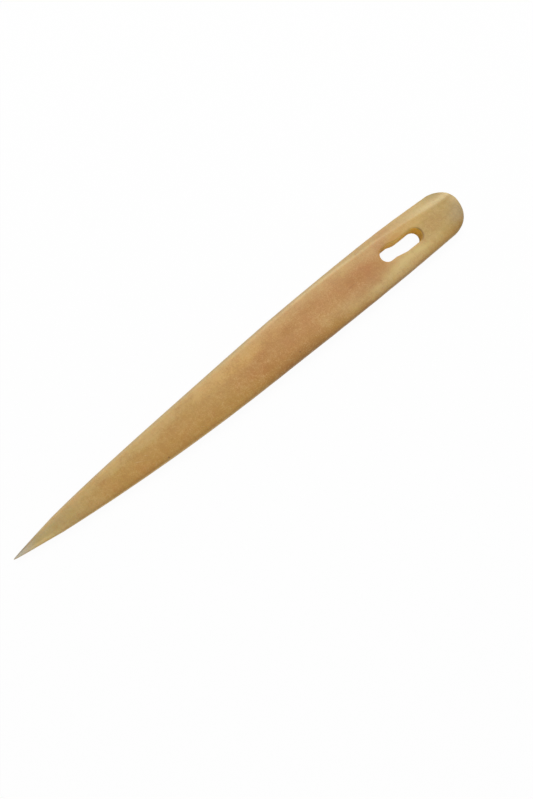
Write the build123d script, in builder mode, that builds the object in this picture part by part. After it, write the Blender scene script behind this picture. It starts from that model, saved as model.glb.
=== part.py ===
from build123d import *
from math import atan2, cos, degrees, pi, radians, sin, sqrt, tan
import os

# A netting needle: a flat needle with one long eye, sawn and filed from a single piece of bone.
#
# Millimetres. +X runs from the point to the head, +Y is the bevelled edge and +Z is up out of the
# front face. The needle lies on its back face, which is rubbed flat on Z = 0. The origin is on that
# face, half way along. A station is a distance from the point; the head is laid out from its end.

# ---- Outline, seen from the front ----
LENGTH = 110.0
BELLY_WIDTH = 10.6  # the widest place
BELLY_FROM_HEAD = 23.5
HEAD_WIDTH = 9.75  # where the rounded end starts
POINT_CURVE = 1.37  # 1 gives long straight sides to the point, 2 gives half an ellipse
POINT_BLUNT = 0.15  # the point stops this far short of a perfect one
HONE_LENGTH = 10.0  # the last of the point is honed finer
HONED_OFF = 0.25  # by up to this share of its width
WANDER = 0.2  # the shank is filed by eye and strays this far from straight
WANDER_PITCH = 87.0
WANDER_TURNS = 0.75  # of a wave, so that it ends back in the middle
HEAD_LEAN = 0.16  # the head leans this far towards the back edge
END_LEAN = 0.45  # and the top of its rounded end this far towards the front edge
END_LEAN_CURVE = 1.7

# ---- Thickness, seen from the side ----
BELLY_THICKNESS = 3.0
HEAD_THICKNESS = 2.5
THINNING_CURVE = 1.5  # 1 would leave a crease across the belly
BACK_LIFT = 0.3  # this share of the thinning towards the point is taken off the back
RUBBED_OFF = 0.12  # what is rubbed off the back to make it flat
END_ROUND = 0.9  # the end of the head is rounded over at this radius

# ---- Section: how the faces turn into the edges ----
FOOT = 0.72  # width of the underside, as a share of the width
EDGE_HEIGHT = 0.45  # height of the back edge, as a share of the thickness
CROWN = 0.05  # how far the front face bulges, as a share of the thickness
CROWN_FRONT = 0.3  # the bulge is full this far in from the ridge, as a share of the face
CROWN_BACK = 0.15  # and this far in from the back edge
SQUARENESS = 0.58  # 0.55 rounds the lower corners as an ellipse does, 1 leaves them square

# ---- Bevel filed along the front edge ----
BEVEL_NARROW = 0.85
BEVEL_WIDE = 3.0  # at the end of the head
BEVEL_FROM_HEAD = 36.0  # where it starts to widen
BEVEL_FLARE = 1.25  # 1 widens it evenly, more leaves it for the end
BEVEL_DEPTH = 1.1
BEVEL_FLAT = 0.5  # share of it that is quite flat
BEVEL_ROLL = 0.2  # share of its depth that the edge below it stays upright
CUT_LIMIT = 0.8  # it takes at most this share of the height above the back edge
BEVEL_RUN_OUT = 0.24  # towards the point it is never wider than this share of the half width
RIDGE_LIMIT = 0.85  # round the end of the head the ridge keeps within this share of the half width

# ---- Eye: a hole and a slot, made with one drill and filed into each other ----
EYE_DRILL = 3.0
HOLE_FROM_HEAD = 18.4  # centre of the hole's end nearest the point
HOLE_RUN = 1.2  # the hole is drawn out this far towards the head
HOLE_OFFSET = 0.22  # towards the front edge
SLOT_FROM_HEAD = 11.85  # centre of the slot's end nearest the head
SLOT_RUN = 2.9  # between the centres of the slot's two ends
SLOT_OFFSET = -0.3  # towards the back edge
WAIST_ROUND = 4.0  # along the side towards the front edge
BROW_ROUND = 6.0  # where the ramp leaves the hole, along the other side
RIM_ROUND = 0.3  # both rims are worn smooth

# ---- Cross-sections to draw ----
SHANK_STEPS = 16  # they crowd towards both ends of the shank
END_STEPS = 7  # equal angles round the end of the head
END_STOP = 85  # the last one, in degrees

BELLY = LENGTH - BELLY_FROM_HEAD
ROUND_START = LENGTH - HEAD_WIDTH / 2


def share_past(station, start, length):
    """How much of a length that begins at start lies before the station, from 0 to 1."""
    return min(max((station - start) / length, 0.0), 1.0)


def fullness(station, curve):
    """Grows from almost 0 at the blunted point to 1 at the belly."""
    short = 1 - share_past(station, -POINT_BLUNT, BELLY + POINT_BLUNT)
    return (1 - short**2) ** (1 / curve)


def half_width(station):
    """Half the width that the needle would have here with a square head."""
    left_on = 1 - HONED_OFF * (1 - share_past(station, 0.0, HONE_LENGTH))
    narrowing = share_past(station, BELLY, ROUND_START - BELLY) ** 2
    pointed = BELLY_WIDTH / 2 * fullness(station, POINT_CURVE) * left_on
    return pointed - (BELLY_WIDTH - HEAD_WIDTH) / 2 * narrowing


def centre_line(station):
    """The hand-cut shank swings to one side and back, and the head leans a little."""
    swing = cos(2 * pi * min(station / WANDER_PITCH, WANDER_TURNS))
    return WANDER * swing - HEAD_LEAN * share_past(station, BELLY, ROUND_START - BELLY) ** 2


def round_end(station):
    """Share of the half width that the round end of the head leaves."""
    return sqrt(1 - share_past(station, ROUND_START, HEAD_WIDTH / 2) ** 2)


def thickness(station):
    thinning = share_past(station, BELLY, BELLY_FROM_HEAD) ** THINNING_CURVE
    return BELLY_THICKNESS * fullness(station, 2) - (BELLY_THICKNESS - HEAD_THICKNESS) * thinning


def rounded_over(station):
    """What each face loses to the rounding at the very end of the head."""
    inside = share_past(station, LENGTH - END_ROUND, END_ROUND)
    return END_ROUND * (1 - sqrt(1 - inside**2))


def bevel_width(station):
    widening = share_past(station, LENGTH - BEVEL_FROM_HEAD, BEVEL_FROM_HEAD) ** BEVEL_FLARE
    width = BEVEL_NARROW + (BEVEL_WIDE - BEVEL_NARROW) * widening
    if station > BELLY / 2:
        return width
    return min(width, BEVEL_RUN_OUT * half_width(station))


def section_outline(station):
    """Draws one cross-section, with Y across the needle and Z up."""
    square = half_width(station)
    half = square * round_end(station)
    closing = 1 - round_end(station)
    middle = centre_line(station) + END_LEAN * closing**END_LEAN_CURVE
    front_edge = middle + half
    back_edge = middle - half

    lift = BACK_LIFT * BELLY_THICKNESS * (1 - fullness(station, 2))
    under = lift - RUBBED_OFF + rounded_over(station)
    top = lift + thickness(station) - rounded_over(station)
    edge = under + EDGE_HEIGHT * (top - under)

    # The bevel is one flat cut, so the round end of the head meets it higher up its slope.
    ridge = min(centre_line(station) + square - bevel_width(station), middle + RIDGE_LIMIT * half)
    depth = BEVEL_DEPTH * thickness(station) / BELLY_THICKNESS
    cut = min(depth * (front_edge - ridge) / bevel_width(station), CUT_LIMIT * (top - edge))
    bevel_foot = top - cut - closing**2 * (top - cut - edge)

    bulge = CROWN * thickness(station)
    front_foot = middle + FOOT * half
    back_foot = middle - FOOT * half
    front_corner = SQUARENESS * (front_edge - front_foot)
    Line((back_foot, under), (front_foot, under))
    Bezier(
        (front_foot, under),
        (front_foot + front_corner, under),
        (front_edge, bevel_foot - SQUARENESS * (bevel_foot - under)),
        (front_edge, bevel_foot),
    )
    Bezier(
        (front_edge, bevel_foot),
        (front_edge, bevel_foot + BEVEL_ROLL * (top - bevel_foot)),
        (ridge + BEVEL_FLAT * (front_edge - ridge), top - BEVEL_FLAT * (top - bevel_foot)),
        (ridge, top),
    )
    Bezier(
        (ridge, top),
        (ridge - CROWN_FRONT * (ridge - back_edge), top + bulge),
        (back_edge + CROWN_BACK * (ridge - back_edge), top + bulge),
        (back_edge, top),
        (back_edge, (top + edge) / 2),
        (back_edge, edge),
    )
    Bezier(
        (back_edge, edge),
        (back_edge, edge - SQUARENESS * (edge - under)),
        (back_foot - front_corner, under),
        (back_foot, under),
    )


def eye_outline():
    """The hole, the slot beside it, a filed ramp along one side and a worn waist along the other."""
    radius = EYE_DRILL / 2
    side = Vector(0, radius)
    hole_start = Vector(LENGTH / 2 - HOLE_FROM_HEAD, HOLE_OFFSET)
    hole_end = hole_start + Vector(HOLE_RUN, 0)
    slot_end = Vector(LENGTH / 2 - SLOT_FROM_HEAD, SLOT_OFFSET)
    slot_start = slot_end - Vector(SLOT_RUN, 0)

    # The waist is an arc that touches the hole and the side of the slot from outside.
    waist_rise = slot_end.Y + radius + WAIST_ROUND - hole_end.Y
    waist_reach = sqrt((radius + WAIST_ROUND) ** 2 - waist_rise**2)
    waist = hole_end + Vector(waist_reach, waist_rise)
    waist_turn = degrees(atan2(waist_rise, waist_reach))
    Line(slot_end + side, Vector(waist.X, slot_end.Y + radius))
    CenterArc(waist, WAIST_ROUND, -90, waist_turn - 90)
    CenterArc(hole_end, radius, waist_turn, 90 - waist_turn)

    Line(hole_end + side, hole_start + side)
    CenterArc(hole_start, radius, 90, 180)

    # The ramp rolls off the side of the hole and runs into the slot round the drill.
    ramp = atan2(slot_start.Y - hole_end.Y, slot_start.X - hole_end.X)
    brow = hole_end - side + Vector((radius + BROW_ROUND) * tan(ramp / 2), 0)
    Line(hole_start - side, brow)
    ramp_top = CenterArc(brow - Vector(0, BROW_ROUND), BROW_ROUND, 90, degrees(ramp))
    ramp_foot = CenterArc(slot_start, radius, degrees(ramp) - 90, -degrees(ramp))
    Line(ramp_top @ 1, ramp_foot @ 0)
    Line(slot_start - side, slot_end - side)
    CenterArc(slot_end, radius, -90, 180)


shank_turns = [pi * step / SHANK_STEPS for step in range(SHANK_STEPS)]
end_turns = [radians(END_STOP) * step / END_STEPS for step in range(END_STEPS + 1)]
stations = [ROUND_START * (1 - cos(turn)) / 2 for turn in shank_turns]
stations += [ROUND_START + HEAD_WIDTH / 2 * sin(turn) for turn in end_turns]

with BuildPart() as needle:
    for station in stations:
        with BuildSketch(Plane.YZ.offset(station - LENGTH / 2)):
            with BuildLine():
                section_outline(station)
            make_face()
    loft()
    split(bisect_by=Plane.XY, keep=Keep.TOP)
    with BuildSketch():
        with BuildLine():
            eye_outline()
        make_face()
    extrude(amount=BELLY_THICKNESS + EYE_DRILL, both=True, mode=Mode.SUBTRACT)
    rims = needle.edges(Select.LAST).filter_by(Axis.Z, reverse=True)
    back_rim = rims.group_by(Axis.Z)[0]
    front_rim = rims - back_rim
    fillet(back_rim.sort_by(Axis.X), RIM_ROUND)
    fillet(front_rim.sort_by(Axis.X), RIM_ROUND)

needle.part.label = "needle"
os.makedirs("parts", exist_ok=True)
export_step(needle.part, "parts/needle.step")
print("volume", round(needle.part.volume, 1), "mm3, box", needle.part.bounding_box().size)
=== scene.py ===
"""A netting needle of sanded bone, lying on a white table."""
import math

import bpy
from mathutils import Matrix, Vector


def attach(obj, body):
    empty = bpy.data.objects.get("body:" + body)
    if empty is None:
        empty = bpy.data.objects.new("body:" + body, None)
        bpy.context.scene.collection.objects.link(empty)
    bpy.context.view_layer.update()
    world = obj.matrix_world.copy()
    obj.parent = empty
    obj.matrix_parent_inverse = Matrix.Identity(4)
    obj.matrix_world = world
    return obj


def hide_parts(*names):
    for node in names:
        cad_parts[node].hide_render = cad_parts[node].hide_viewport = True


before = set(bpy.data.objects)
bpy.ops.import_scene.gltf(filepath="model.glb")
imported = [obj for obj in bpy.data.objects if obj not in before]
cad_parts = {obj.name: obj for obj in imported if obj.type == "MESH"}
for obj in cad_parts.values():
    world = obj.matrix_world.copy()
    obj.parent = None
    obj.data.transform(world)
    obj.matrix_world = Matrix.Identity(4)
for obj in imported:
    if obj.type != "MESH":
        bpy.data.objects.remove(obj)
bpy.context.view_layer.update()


# ==== The needle ==================================================================================
# One piece of bone from the wall of a shin: sawn to a flat bar, drilled twice for the eye, filed to
# a long point with a bevel down one edge, then rubbed smooth by hand with fine paper.

MM_PER_M = 1000.0

# Millimetres, apart from shares, curves, turns and squareness. A station is a distance from the
# point. Squareness 2 is an ellipse, and more is squarer.
needle_sizes = {
    "Length": 110.0,
    "Belly width": 10.6,
    "Belly from head": 23.5,
    "Head width": 9.75,
    "Head lean": 0.16,
    "End lean": 0.45,
    "End lean curve": 1.7,
    "Point curve": 1.37,
    "Point curve from the side": 2.0,
    "Point blunt": 0.15,
    "Hone length": 10.0,
    "Honed off share": 0.25,
    "Wander": 0.2,
    "Wander pitch": 87.0,
    "Wander turns": 0.75,
    "Belly thickness": 3.0,
    "Head thickness": 2.5,
    "Thinning curve": 1.5,
    "Edge height share": 0.45,
    "Crown": 0.07,
    "Back lift": 0.9,
    "Rubbed off": 0.12,
    "Bevel narrow": 0.85,
    "Bevel wide": 3.0,
    "Bevel from head": 36.0,
    "Bevel flare curve": 1.25,
    "Bevel depth": 1.1,
    "Bevel run-out share": 0.24,
    "Ridge wear on shank": 0.5,
    "Ridge wear at head": 0.12,
    "Ridge wear station": 45.0,
    "Ridge wear run": 45.0,
    "Lower squareness": 4.5,
    "Back squareness": 3.5,
    "Bevel squareness": 9.0,
    "End squareness": 7.0,
    "Eye drill": 3.0,
    "Hole from head": 18.4,
    "Hole run": 1.2,
    "Hole offset": 0.22,
    "Slot from head": 11.85,
    "Slot run": 2.9,
    "Slot offset": -0.3,
    "Waist round": 4.0,
    "Rim round": 0.3,
    "Sanded off": 0.01,
    "Sanding unevenness": 0.008,
}


class Wire:
    """A value on its way through a node tree. Arithmetic with wires lays Math nodes."""

    def __init__(self, tree, socket):
        self.tree = tree
        self.socket = socket

    def math(self, operation, *others):
        node = self.tree.nodes.new("ShaderNodeMath")
        node.operation = operation
        for socket, value in zip(node.inputs, (self, *others)):
            feed(self.tree, socket, value)
        return Wire(self.tree, node.outputs[0])

    def __add__(self, other):
        return self.math("ADD", other)

    def __sub__(self, other):
        return self.math("SUBTRACT", other)

    def __mul__(self, other):
        return self.math("MULTIPLY", other)

    def __truediv__(self, other):
        return self.math("DIVIDE", other)

    def __pow__(self, other):
        return self.math("POWER", other)

    def __neg__(self):
        return self.math("MULTIPLY", -1.0)

    def __abs__(self):
        return self.math("ABSOLUTE")

    def __rsub__(self, other):
        return -self + other

    def __rtruediv__(self, other):
        return self**-1.0 * other

    __radd__ = __add__
    __rmul__ = __mul__

    def least(self, other):
        return self.math("MINIMUM", other)

    def most(self, other):
        return self.math("MAXIMUM", other)

    def past(self, other):
        return self.math("GREATER_THAN", other)

    def root(self):
        return self.math("SQRT")

    def share(self):
        """Kept between 0 and 1."""
        return self.most(0.0).least(1.0)


def feed(tree, socket, value):
    """Gives a socket a fixed value or what another node makes."""
    if isinstance(value, Wire):
        tree.links.new(value.socket, socket)
    else:
        socket.default_value = value


def lay(tree, kind, output=0, **inputs):
    """Lays a node, feeds its named inputs and returns the wire that comes out of it."""
    node = tree.nodes.new(kind)
    for name, value in inputs.items():
        feed(tree, node.inputs[name.replace("_", " ")], value)
    return Wire(tree, node.outputs[output])


def axes(tree, vector):
    """The X, Y and Z of a vector, as three wires."""
    node = tree.nodes.new("ShaderNodeSeparateXYZ")
    feed(tree, node.inputs[0], vector)
    return [Wire(tree, socket) for socket in node.outputs]


def blend(share, nothing, full):
    return nothing + share * (full - nothing)


def hypotenuse(one, other):
    return (one * one + other * other).root()


def share_past(station, start, length):
    """How much of a length that begins at start lies before the station."""
    return ((station - start) / length).share()


def fullness(station, curve, size):
    """Grows from almost 0 at the blunted point to 1 at the belly."""
    belly = size["Length"] - size["Belly from head"]
    short = 1 - share_past(station, -size["Point blunt"], belly + size["Point blunt"])
    return (1 - short * short) ** (1 / curve)


def pointed(station, size):
    """The share of the width that is left towards the point, whose very end is honed finer."""
    honed = size["Honed off share"] * (1 - share_past(station, 0.0, size["Hone length"]))
    return fullness(station, size["Point curve"], size) * (1 - honed)


def thinned(station, size):
    """How far the back is lifted towards the point, and the share of the thickness that is left."""
    full = fullness(station, size["Point curve from the side"], size)
    blank = size["Belly thickness"] + size["Rubbed off"]
    kept = (size["Belly thickness"] * full + size["Rubbed off"]) / blank
    return size["Back lift"] * (1 - full), kept


def swing(station, size):
    """The hand-cut shank swings to one side and back."""
    turns = (station / size["Wander pitch"]).least(size["Wander turns"])
    return size["Wander"] * (turns * (2 * math.pi)).math("COSINE")


def untapered(station, size):
    """The middle and half width that the needle would have with no point and a square head."""
    belly = size["Length"] - size["Belly from head"]
    round_start = size["Length"] - size["Head width"] / 2
    narrowing = share_past(station, belly, round_start - belly)
    narrowing = narrowing * narrowing
    half = size["Belly width"] / 2 - (size["Belly width"] - size["Head width"]) / 2 * narrowing
    return -size["Head lean"] * narrowing, half


def bevel_width(station, size):
    narrow = size["Bevel narrow"] / pointed(station, size)
    narrow = narrow.least(size["Bevel run-out share"] * size["Belly width"] / 2)
    start = size["Length"] - size["Bevel from head"]
    widening = share_past(station, start, size["Bevel from head"]) ** size["Bevel flare curve"]
    return narrow + (size["Bevel wide"] - size["Bevel narrow"]) * widening


def to_run(x, y, start, end):
    """Distance in the face's plane from a straight run of the drill."""
    run_x, run_y = end[0] - start[0], end[1] - start[1]
    from_x, from_y = x - start[0], y - start[1]
    along = ((from_x * run_x + from_y * run_y) / (run_x * run_x + run_y * run_y)).share()
    return hypotenuse(from_x - along * run_x, from_y - along * run_y)


def eye_depth(station, y, size):
    """How far a place lies inside the eye, or less than 0 in the bone round it."""
    drill = size["Eye drill"] / 2
    hole_start = (size["Length"] - size["Hole from head"], size["Hole offset"])
    hole_end = (hole_start[0] + size["Hole run"], hole_start[1])
    slot_end = (size["Length"] - size["Slot from head"], size["Slot offset"])
    slot_start = (slot_end[0] - size["Slot run"], slot_end[1])
    drilled = to_run(station, y, hole_start, hole_end)
    drilled = drilled.least(to_run(station, y, hole_end, slot_start))
    drilled = drilled.least(to_run(station, y, slot_start, slot_end))

    # The worn waist is round, and touches the hole and the side of the slot.
    rise = slot_end[1] + drill + size["Waist round"] - hole_end[1]
    reach = ((drill + size["Waist round"]) ** 2.0 - rise * rise).root()
    to_waist = hypotenuse(station - hole_end[0] - reach, y - hole_end[1] - rise)
    return (drill - drilled).least(to_waist - size["Waist round"])


def bone_depth(station, y, z, size):
    """Less than 0 inside the needle before its point is filed, when the shank is one width."""
    belly = size["Length"] - size["Belly from head"]
    round_start = size["Length"] - size["Head width"] / 2
    centre, half = untapered(station, size)
    into_end = share_past(station, round_start, size["Head width"] / 2)
    closing = 1 - (1 - into_end * into_end).root()
    across = y - centre - size["End lean"] * closing ** size["End lean curve"]
    reach = hypotenuse((station - round_start).most(0.0), across) / half  # 1 on the outline

    thinning = share_past(station, belly, size["Belly from head"]) ** size["Thinning curve"]
    top = size["Belly thickness"] - (size["Belly thickness"] - size["Head thickness"]) * thinning
    under = -size["Rubbed off"]
    depth = size["Bevel depth"] * top / size["Belly thickness"]

    # The back edge is widest under half way up, the front edge at the foot of the bevel. The
    # upper corner is square under the bevel, and rounder along the back.
    front = (across + 0.5).share()
    edge = blend(front, under + size["Edge height share"] * (top - under), top - depth)
    crowned = top + size["Crown"] * (1 - reach * reach)
    above = z - edge
    upper = above.past(0.0)
    height = blend(upper, edge - under, crowned - edge)
    upper_squareness = blend(front, size["Back squareness"], size["Bevel squareness"])
    squareness = blend(upper, size["Lower squareness"], upper_squareness)
    squareness = blend(into_end, squareness, size["End squareness"])
    level = abs(above / height)
    body = ((reach**squareness + level**squareness) ** (1 / squareness) - 1) * height

    width = bevel_width(station, size)
    slope = depth / width
    bevel = (z - top + (y - centre - half + width) * slope) / (slope * slope + 1).root()
    sharper = share_past(station, size["Ridge wear station"], size["Ridge wear run"])
    wear = blend(sharper, size["Ridge wear on shank"], size["Ridge wear at head"])
    body = body.math("SMOOTH_MAX", bevel, wear)

    # The back is rubbed flat. It is left whole here where the point lifts off the table.
    lift, kept = thinned(station, size)
    flat = (size["Rubbed off"] - lift) / kept - size["Rubbed off"]
    body = body.most(flat - z).most(-station)

    # The rims of the eye are worn round.
    rim = size["Rim round"]
    hollow = eye_depth(station, y, size)
    turn = hypotenuse((body + rim).most(0.0), (hollow + rim).most(0.0))
    return body.most(hollow).least(-rim) + turn


filing = bpy.data.node_groups.new("Filing the needle", "GeometryNodeTree")
filing.interface.new_socket("Needle", in_out="OUTPUT", socket_type="NodeSocketGeometry")
given = filing.nodes.new("NodeGroupInput")
size = {}
for name in needle_sizes:
    filing.interface.new_socket(name, in_out="INPUT", socket_type="NodeSocketFloat")
    size[name] = Wire(filing, given.outputs[name])

# The blank is drawn with its head stretched out, so that head and eye get the finest mesh. Its
# cells are 0.14 wide and high. Sanding leaves it uneven in patches about 3 across.
blank_length, head_squeeze = 100.0, 0.45
blank_low, blank_high = (-1.0, -5.88, -0.42), (101.0, 5.88, 3.36)
place = lay(filing, "GeometryNodeInputPosition")
x, y, z = axes(filing, place)
left = 1 - x / blank_length
station = size["Length"] * (1 - left * (head_squeeze + (1 - head_squeeze) * left))
unevenness = lay(filing, "ShaderNodeTexNoise", Vector=place, Scale=0.35, Detail=1.0) * 2 - 1
sanded = size["Sanded off"] + size["Sanding unevenness"] * unevenness
solid = lay(
    filing,
    "GeometryNodeVolumeCube",
    Density=1 - bone_depth(station, y, z, size) - sanded,
    Min=blank_low,
    Max=blank_high,
    Resolution_X=470,
    Resolution_Y=84,
    Resolution_Z=27,
)
skin = lay(filing, "GeometryNodeVolumeToMesh", Volume=solid, Threshold=1.0)

# Filing the point: the skin is drawn in towards the middle, and its back is lifted.
lift, kept = thinned(station, size)
rubbed = size["Rubbed off"]
filed = lay(
    filing,
    "ShaderNodeCombineXYZ",
    X=(station - size["Length"] / 2) / MM_PER_M,
    Y=(y * pointed(station, size) + swing(station, size)) / MM_PER_M,
    Z=(lift - rubbed + (z + rubbed) * kept) / MM_PER_M,
)
skin = lay(filing, "GeometryNodeSetPosition", Geometry=skin, Position=filed)
skin = lay(filing, "GeometryNodeSetShadeSmooth", Geometry=skin)
skin = lay(filing, "GeometryNodeRealizeInstances", Geometry=skin)

bone = bpy.data.materials.new("sanded_bone")
bone.use_nodes = True
skin = lay(filing, "GeometryNodeSetMaterial", Geometry=skin, Material=bone)
filing.links.new(skin.socket, filing.nodes.new("NodeGroupOutput").inputs["Needle"])

blank = bpy.data.objects.new("needle_blank", bpy.data.meshes.new("needle_blank"))
bpy.context.scene.collection.objects.link(blank)
tool = blank.modifiers.new("Filing", "NODES")
tool.node_group = filing
for socket in filing.interface.items_tree:
    if socket.in_out == "INPUT":
        tool[socket.identifier] = needle_sizes[socket.name]
worked = blank.evaluated_get(bpy.context.evaluated_depsgraph_get())
needle = bpy.data.objects.new("bone_needle", bpy.data.meshes.new_from_object(worked))
bpy.context.scene.collection.objects.link(needle)
bpy.data.objects.remove(blank)
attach(needle, "root")
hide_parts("needle")

# Sound bone is honey brown. Handling has stained the middle rose, the head is paler and greener,
# the thin point lets light through and looks grey, and the drilled eye has never been sanded pale.
# Painted light and shade are laid into the colour too: painted sheen on the bevel, painted shade
# along the edges and round the head, and painted light in the eye and on the point's back edge.
grain = bone.node_tree


def tone(red, green, blue):
    """A colour as it is seen, from 0 to 255, for a shader's socket."""
    seen = [value / 255 for value in (red, green, blue)]
    return [((value + 0.055) / 1.055) ** 2.4 for value in seen] + [1.0]


def tint(share, under, over, way="MIX"):
    """Lays one colour over another by a share of it."""
    node = grain.nodes.new("ShaderNodeMix")
    node.data_type = "RGBA"
    node.blend_type = way
    for socket, value in ((0, share), (6, under), (7, over)):  # where the colours go in
        feed(grain, node.inputs[socket], value)
    return Wire(grain, node.outputs[2])


def turned(place, scale, angle=0.0):
    """Turns a place in the plane of the face, then stretches it."""
    place = lay(grain, "ShaderNodeMapping", Vector=place, Rotation=(0.0, 0.0, math.radians(angle)))
    return lay(grain, "ShaderNodeMapping", Vector=place, Scale=scale)


def cloud(place, scale, detail=2.0, offset=0.0):
    """Soft noise from -1 to 1. Scale is in blotches to the millimetre."""
    place = lay(grain, "ShaderNodeMapping", Vector=place, Location=(offset, offset, offset))
    return lay(grain, "ShaderNodeTexNoise", Vector=place, Scale=scale, Detail=detail) * 2 - 1


def soften(share):
    return share * share * (3 - 2 * share)


def patch(middle, reach, ragged):
    """A stain, or a patch of painted light or shade: full strength to a quarter of its reach, gone
    a quarter beyond it.
    """
    away = hypotenuse((station - middle[0]) / reach[0], (across - middle[1]) / reach[1])
    return soften((1.25 - away + ragged).share())


def band(value, middle, reach):
    """1 in the middle of a strip, fading to nothing at its reach on both sides."""
    return soften((1 - abs(value - middle) / reach).share())


place = turned(lay(grain, "ShaderNodeTexCoord", output="Object"), (MM_PER_M, MM_PER_M, MM_PER_M))
x, y = axes(grain, place)[:2]
station = x + needle_sizes["Length"] / 2
middle, half = untapered(station, needle_sizes)
from_middle = (y - swing(station, needle_sizes)) / pointed(station, needle_sizes) - middle
across = from_middle / half  # -1 on the back edge, 1 on the edge with the bevel
past_ridge = from_middle - half + bevel_width(station, needle_sizes)

drift = cloud(place, 0.09, detail=1.0)
blotch = cloud(place, 0.30, detail=3.0, offset=40.0)
ragged = drift * 0.25 + blotch * 0.3


def stain(colour, middle, reach, strength, seen, raggedness=1.0):
    """Lays a stain, or a patch of painted light or shade, over the colour. Its middle is a station
    and a place across.
    """
    return tint(patch(middle, reach, ragged * raggedness) * strength, colour, tone(*seen))


colour = tint(0.5 + drift * 0.5, tone(184, 140, 76), tone(192, 152, 84))
for stain_or_painted_light in (
    ((61.0, -0.1), (11.0, 0.9), 0.8, (182, 130, 68)),  # the shank is browner before the middle
    ((74.0, 0.1), (17.0, 0.95), 0.85, (186, 134, 74)),  # the rose stain, and its darkest place
    ((85.0, 0.0), (6.0, 0.5), 0.8, (178, 120, 62)),
    ((84.0, -0.55), (11.0, 0.35), 0.7, (192, 154, 100)),  # rubbed paler beside it
    ((106.0, 0.0), (13.0, 1.4), 1.0, (182, 152, 90)),  # the head
    ((95.0, -0.7), (9.0, 0.4), 1.0, (210, 184, 122)),  # pale from the eye to the back edge
    ((88.0, -0.8), (11.0, 0.25), 0.7, (212, 186, 130)),
    ((97.5, 0.45), (7.0, 0.35), 0.85, (198, 161, 90)),  # gold from the eye to the ridge
    ((90.5, 0.5), (3.5, 0.35), 0.6, (182, 128, 76)),
    ((102.8, -0.05), (3.0, 0.4), 0.5, (182, 142, 80)),
    ((109.0, -0.55), (4.0, 0.8), 0.75, (166, 146, 110)),  # the end of the head is greyer
    # painted highlight on the rounded end of the head, which faces the lamp
    ((110.0, 0.2), (2.2, 0.35), 0.6, (206, 184, 136)),
    # painted light on the bevel of the point, which is tilted to the lamp
    ((25.0, 0.55), (22.0, 0.4), 0.45, (200, 174, 112)),  # straw along the bevel of the point
):
    colour = stain(colour, *stain_or_painted_light)

# The back half of the shank is yellower all over, with later stains on top.
yellowed, straw = patch((40.0, -0.55), (32.0, 0.5), ragged), (0.97, 0.93, 0.8, 1.0)
colour = tint(yellowed * 0.8, colour, straw, "MULTIPLY")
for late_stain in (
    ((86.0, -0.35), (6.0, 0.3), 0.5, (184, 134, 78)),
    ((49.0, 0.5), (9.0, 0.45), 0.4, (208, 178, 114)),
    ((55.0, 0.5), (13.0, 0.4), 0.5, (214, 166, 90)),
    ((46.0, -0.95), (9.0, 0.3), 0.5, (206, 166, 92)),
):
    colour = stain(colour, *late_stain)
for rust in ((59.8, 0.05), (59.5, -0.45), (66.8, 0.2), (72.8, 0.4), (83.5, 0.1)):
    colour = stain(colour, rust, (2.2, 0.22), 0.6, (176, 122, 58))

# The point is thin and grey, and darker along the bevel. Painted light makes it paler along the
# back edge, where light comes through the thin bone.
colour = stain(colour, (0.0, 0.0), (20.0, 9.0), 0.9, (184, 165, 112), raggedness=0.5)
colour = stain(colour, (4.0, -0.9), (9.0, 0.6), 0.85, (222, 194, 130), raggedness=0.5)
colour = stain(colour, (0.0, 0.7), (14.0, 0.9), 0.5, (178, 164, 132), raggedness=0.5)
colour = stain(colour, (0.0, 0.0), (5.0, 9.0), 0.7, (197, 193, 178), raggedness=0.4)

# The bevel faces the lamp and is painted paler, as painted sheen. The face beside it, tilted
# towards the lamp, is painted pale as well, as painted light, out to 3.2 from the ridge.
face_beside = 3.2
near_head = share_past(station, 50.0, 45.0)
beside = soften(((past_ridge + face_beside) / face_beside + blotch * 0.15).share())
colour = tint(beside * (1 - share_past(station, 88.0, 10.0)) * 0.55, colour, tone(204, 168, 110))
cut = soften((0.5 + past_ridge / blend(near_head, 1.4, 0.2)).share())
colour = tint(cut * 0.8, colour, tone(196, 170, 116))
colour = stain(colour, (92.5, 0.8), (5.0, 0.3), 0.55, (188, 142, 92))
colour = tint(cut * band(station, 86.0, 14.0) * 0.6, colour, tone(184, 154, 108))

# A painted highlight runs along its ridge, strongest beside the stained middle, and painted sheen
# makes the cut pale along it at the head. Painted shade darkens the corners of the head.
ridge = band(past_ridge, blend(near_head, 0.0, 0.25), blend(near_head, 0.9, 0.4))
ridge = ridge * band(station, 75.0, 33.0) * (0.85 + blotch * 0.4)
colour = tint(ridge.share() * 0.6, colour, tone(222, 196, 146))
end_cut = band(past_ridge, 0.6, 1.1) * share_past(station, 97.0, 8.0)
colour = tint(end_cut * 0.5, colour, tone(220, 203, 152))
colour = stain(colour, (107.6, 0.95), (4.0, 0.35), 0.75, (164, 144, 92), raggedness=0.0)
colour = stain(colour, (107.3, -0.95), (2.5, 0.3), 0.8, (150, 122, 66), raggedness=0.0)

# Painted shade: the back edge, turned away from the lamp, is painted darker.
painted_shade_back_edge = soften(((-0.5 - across) / 0.5 + blotch * 0.12).share())
colour = tint(painted_shade_back_edge * share_past(station, 5.0, 25.0) * 0.4, colour, tone(176, 126, 52))
colour = stain(colour, (66.0, -1.0), (9.0, 0.4), 0.4, (150, 98, 50))

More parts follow.
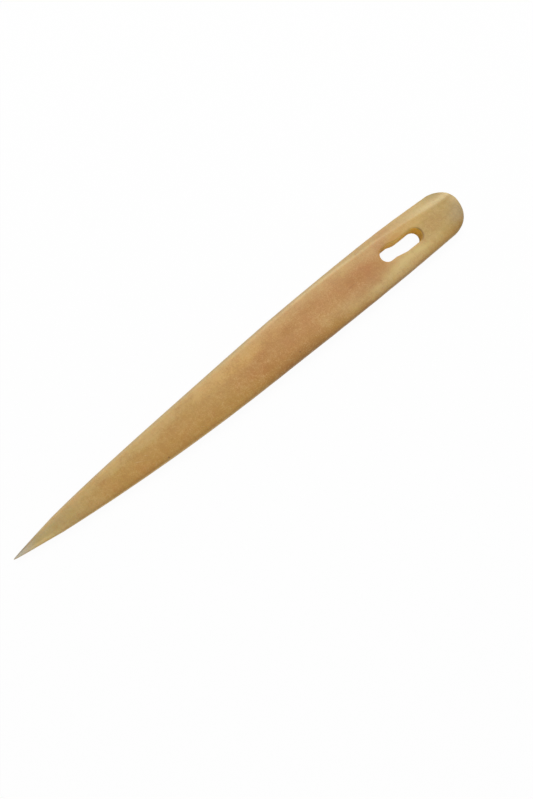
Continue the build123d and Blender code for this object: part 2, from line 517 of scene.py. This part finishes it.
# Painted shade makes the steep sides darker than the face on the bevel's side and round the head.
# On the other side the steep shank is painted gold towards the point, as painted light, and brown
# further on, as painted shade. The box round the eye keeps its wall out of this.
steep = 1 - abs(axes(grain, lay(grain, "ShaderNodeTexCoord", output="Normal"))[2])
near_eye = band(station, 95.8, 6.6).past(0.0) * (2.6 - abs(y)).past(0.0)
side = soften(((steep - 0.2) / 0.4).share()) * (1 - near_eye)
facing_front = (y * 0.5 + 0.5 + share_past(station, 104.0, 4.0)).share()
colour = tint(side * facing_front * 0.7, colour, tone(172, 148, 104))
facing_back = side * (1 - facing_front)
before_middle = 1 - share_past(station, 45.0, 15.0)
colour = tint(facing_back * before_middle * 0.6, colour, tone(226, 184, 104))
colour = tint(facing_back * band(station, 84.0, 24.0) * 0.6, colour, tone(160, 112, 50))
colour = stain(colour, (0.0, 1.0), (7.5, 0.7), 0.95, (134, 126, 106), raggedness=0.0)

# Fine sanding marks run both ways, and the bone's own texture shows between them. It is finest and
# strongest in the middle, and calm at the point.
fleck = cloud(place, 1.5, detail=3.0, offset=11.0)
fine = cloud(place, 4.5, offset=17.0)
lengthways = cloud(turned(place, (0.35, 2.6, 1.0), 4.0), 1.0, offset=23.0)
crossways = cloud(turned(place, (3.0, 0.5, 1.0), -9.0), 1.0, offset=31.0)
texture = fine * (0.6 + band(station, 68.0, 34.0) * 0.3) + fleck * 0.42
texture = texture + lengthways * 0.22 + crossways * 0.2
texture = texture + blotch * (0.6 - share_past(station, 92.0, 8.0) * 0.3)
texture = texture * blend(share_past(station, 4.0, 16.0), 0.4, 1.0)
colour = tint((texture * 0.7).share(), colour, tone(216, 182, 122))
colour = tint((texture * -0.7).share(), colour, tone(158, 106, 54))
hue = cloud(place, 0.9, offset=53.0) * 0.6 + cloud(place, 0.3, offset=61.0)
colour = tint(hue.share() * 0.8, colour, (0.97, 1.0, 0.84, 1.0), "MULTIPLY")
colour = tint((-hue).share() * 0.8, colour, (1.0, 0.87, 0.88, 1.0), "MULTIPLY")

# There are slanting scratches, two dark specks and a hair crack in the darkest stain.
scratch = cloud(turned(place, (0.5, 6.0, 1.0), 28.0), 1.0, detail=1.0, offset=71.0)
other_way = cloud(turned(place, (0.6, 7.0, 1.0), -35.0), 1.0, detail=1.0, offset=83.0)
scratch = ((scratch.most(other_way) - 0.42) * 3.0).share()
colour = tint(scratch * 0.5, colour, tone(220, 194, 144))
speck_radius = 0.22
for speck_station, speck_y in ((34.2, -3.5), (66.1, -3.8)):
    off = hypotenuse(station - speck_station, y - speck_y)
    colour = tint(soften((1.3 - off / speck_radius).share()) * 0.55, colour, tone(120, 76, 40))
crack = band(y + fleck * 0.15, -0.3, 0.11) * band(station, 82.2, 1.9)
colour = tint(crack * 0.45, colour, tone(126, 78, 40))

# The wall of the eye was never sanded, and is golden. Painted light makes the walls that are
# turned from the lamp brighter, most of all at the far end, and those facing it less bright.
# The dark rim over the far end is painted shade. The worn waist on the face is golden too.
wall = near_eye * soften(((steep - 0.1) / 0.4).share())
drilled = tint(share_past(station, 91.5, 1.5), tone(216, 172, 94), tone(248, 210, 114))
drilled = tint((-0.4 - y).share(), drilled, tone(196, 150, 84))
far_end = share_past(station, 98.3, 0.8)
far_wall = tint((-0.1 - y).share(), tone(250, 206, 84), tone(214, 172, 74))
drilled = tint(far_end, drilled, far_wall)
from_waist = hypotenuse((station - 94.8) / 1.8, (y - 1.9) / 0.6)
colour = tint(soften((1.4 - from_waist).share()) * 0.75, colour, tone(192, 144, 70))
colour = tint(wall * 0.95, colour, drilled)
slot_end = needle_sizes["Length"] - needle_sizes["Slot from head"]
from_end = hypotenuse(station - slot_end, y - needle_sizes["Slot offset"])
far_rim_shade = band(from_end, 1.72, 0.3) * far_end * (1.2 - y).share()
colour = tint(far_rim_shade * 0.7, colour, tone(128, 90, 36))

# Worn bone is satin. A little light goes into it, and the sanding marks are 0.03 deep.
finish = grain.nodes["Principled BSDF"]
feed(grain, finish.inputs["Base Color"], colour)
feed(grain, finish.inputs["Roughness"], (0.5 + texture * 0.08 + wall * 0.3).share())
finish.inputs["IOR"].default_value = 1.54
finish.inputs["Specular IOR Level"].default_value = 0.35
finish.inputs["Subsurface Weight"].default_value = 0.2
finish.inputs["Subsurface Radius"].default_value = (1.0, 0.55, 0.25)
finish.inputs["Subsurface Scale"].default_value = 0.001
relief = lengthways * 0.3 + crossways * 0.3 + fleck * 0.4 + fine * 0.3
bumpy = lay(grain, "ShaderNodeBump", Height=relief, Strength=0.5, Distance=0.00003)
feed(grain, finish.inputs["Normal"], bumpy)


# ==== The table ===================================================================================
# A smooth white board. Lit and glowing, it looks plain white from the camera, and the needle's
# shadow on it is faint. It lights the needle only as a lit board does.

bpy.ops.mesh.primitive_plane_add(size=4.0)
table = bpy.context.active_object
table.name = "table"
board = bpy.data.materials.new("white_board")
board.use_nodes = True
board_nodes = board.node_tree
lit = board_nodes.nodes["Principled BSDF"]
lit.inputs["Base Color"].default_value = (0.9, 0.9, 0.9, 1)
lit.inputs["Roughness"].default_value = 0.8
ray = board_nodes.nodes.new("ShaderNodeLightPath")
seen = Wire(board_nodes, ray.outputs["Is Camera Ray"])
seen = seen.most(Wire(board_nodes, ray.outputs["Is Glossy Ray"]))
seen = seen.most(Wire(board_nodes, ray.outputs["Is Transmission Ray"]))
glow = lay(board_nodes, "ShaderNodeEmission", Color=(1, 1, 1, 1), Strength=1.0)
both = board_nodes.nodes.new("ShaderNodeMixShader")
glow_share = 0.95
feed(board_nodes, both.inputs[0], seen * glow_share)
board_nodes.links.new(lit.outputs[0], both.inputs[1])
board_nodes.links.new(glow.socket, both.inputs[2])
board_nodes.links.new(both.outputs[0], board_nodes.nodes["Material Output"].inputs["Surface"])
table.data.materials.append(board)


# ==== Light =======================================================================================
# One large soft lamp above the top of the picture, which catches the bevel, in an even white room.

scene = bpy.context.scene
scene.view_settings.view_transform = "Standard"
scene.world = bpy.data.worlds.new("studio")
scene.world.use_nodes = True
room = scene.world.node_tree.nodes["Background"]
room.inputs["Color"].default_value = (1, 1, 1, 1)
room.inputs["Strength"].default_value = 0.5
lamp = bpy.data.lights.new("softbox", "AREA")
lamp.size = 0.4
lamp.energy = 2.4
softbox = bpy.data.objects.new("softbox", lamp)
softbox.location = (0.22, 0.3, 0.5)
softbox.rotation_euler = (-softbox.location).to_track_quat("-Z", "Y").to_euler()
scene.collection.objects.link(softbox)


# ==== Camera ======================================================================================
# Held close over the middle of the needle, a little towards the point and the back edge, and turned
# so that the needle climbs across the picture.

camera_data = bpy.data.cameras.new("camera")
camera_data.sensor_fit = "VERTICAL"
camera_data.sensor_height = 36.0
camera_data.lens = 27.93
camera_data.clip_start = 0.01
camera = bpy.data.objects.new("camera", camera_data)
looks_at = Vector((0.0005, -0.00647, 0.0))
to_camera = Vector((-0.078, -0.113, 1.0)).normalized()
distance = 0.12
climb = math.radians(39.6)
picture_right = Vector((math.cos(climb), -math.sin(climb), 0.0))
picture_right = (picture_right - picture_right.dot(to_camera) * to_camera).normalized()
picture_up = to_camera.cross(picture_right)
camera.location = looks_at + distance * to_camera
camera.rotation_euler = Matrix((picture_right, picture_up, to_camera)).transposed().to_euler()
scene.collection.objects.link(camera)
scene.camera = camera
